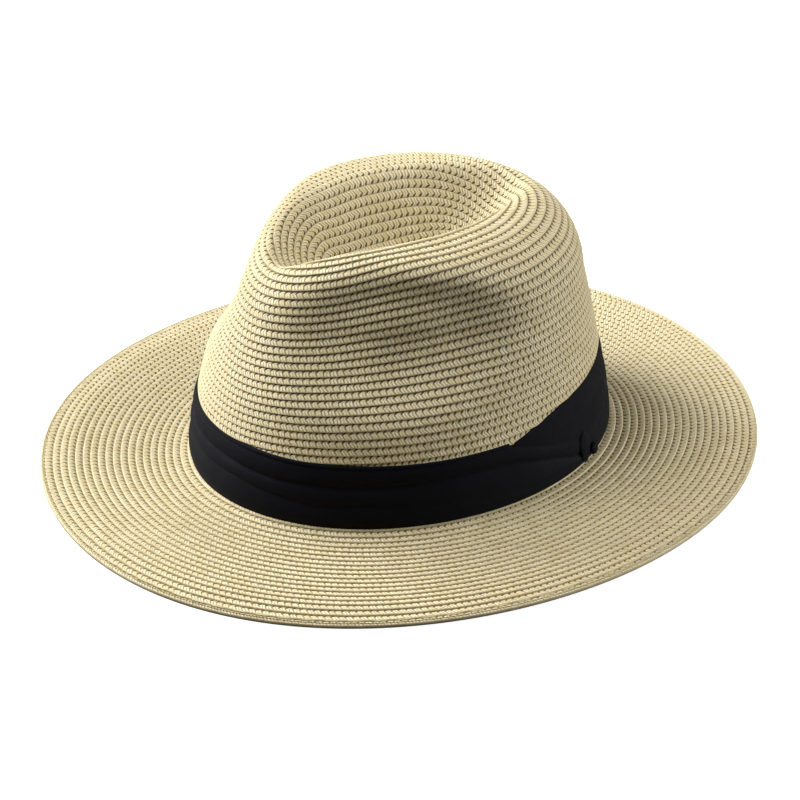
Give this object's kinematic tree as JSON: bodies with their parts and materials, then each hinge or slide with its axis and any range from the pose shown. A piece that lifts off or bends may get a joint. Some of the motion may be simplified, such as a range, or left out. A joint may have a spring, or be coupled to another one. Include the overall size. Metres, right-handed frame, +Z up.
{
  "type": "straw hat",
  "caption": "Pinch-front straw hat of spiral-sewn braid with a teardrop crown, a wide level brim and a pleated dark cloth band.",
  "frame": {"origin": "middle of the brim's outline, at the level of the lowest point of the brim's edge, which is the surface the hat rests on", "axes": "+Z up through the crown, -Y towards the front of the hat, +X towards the wearer's left"},
  "size_m": [0.3122, 0.3398, 0.1195],
  "materials": {
    "straw_braid": "matt woven paper straw",
    "straw_edge": "matt woven paper straw",
    "straw_thread": "matt cotton thread",
    "band_cloth": "matt plain-weave cotton",
    "band_thread": "matt thread",
    "sweatband_cloth": "matt twill",
    "sweatband_thread": "matt thread",
    "label_tape": "satin woven tape"
  },
  "bodies": {
    "root": {"crown_braid": "straw_braid", "brim_braid": "straw_braid", "brim_edge_row": "straw_edge", "brim_edge_stitches": "straw_thread", "band_front_wrap": "band_cloth", "band_top_fold": "band_cloth", "band_back_wrap": "band_cloth", "band_end_roll": "band_cloth", "band_keeper": "band_cloth", "band_tacks": "band_thread", "sweatband": "sweatband_cloth", "sweatband_join": "sweatband_cloth", "sweatband_stitches": "sweatband_thread", "care_label": "label_tape"}
  },
  "joints": []
}
